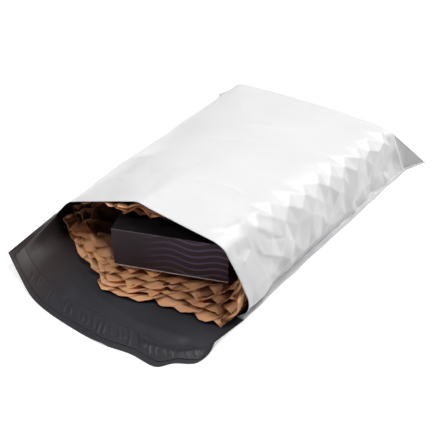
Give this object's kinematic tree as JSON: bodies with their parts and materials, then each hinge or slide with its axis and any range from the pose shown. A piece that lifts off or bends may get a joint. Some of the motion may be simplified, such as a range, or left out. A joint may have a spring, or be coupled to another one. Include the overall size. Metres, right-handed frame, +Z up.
{
  "type": "poly mailer bag",
  "caption": "Open poly mailer lying flat, white outside and dark inside, its sealing flap out, filled with a carton in a wound wrap of crimped kraft paper",
  "frame": {"origin": "on the floor, at the centre of the underside's bounding rectangle, flap and ears included", "axes": "+Y along the bag from its mouth to its folded end, +X to the right as seen from the mouth, +Z up"},
  "size_m": [0.26, 0.3952, 0.0715],
  "materials": {
    "mailer_film": "satin white film, dark grey on its inner face",
    "adhesive": "clear tacky adhesive over dark film",
    "liner_film": "clear glossy liner over dark film",
    "kraft_paper": "crimped brown kraft paper, matte",
    "carton_board": "black printed board, satin"
  },
  "bodies": {
    "root": {"mailer_film": "mailer_film", "adhesive_strip": "adhesive", "release_liner": "liner_film", "kraft_wrap": "kraft_paper", "carton": "carton_board"}
  },
  "joints": []
}
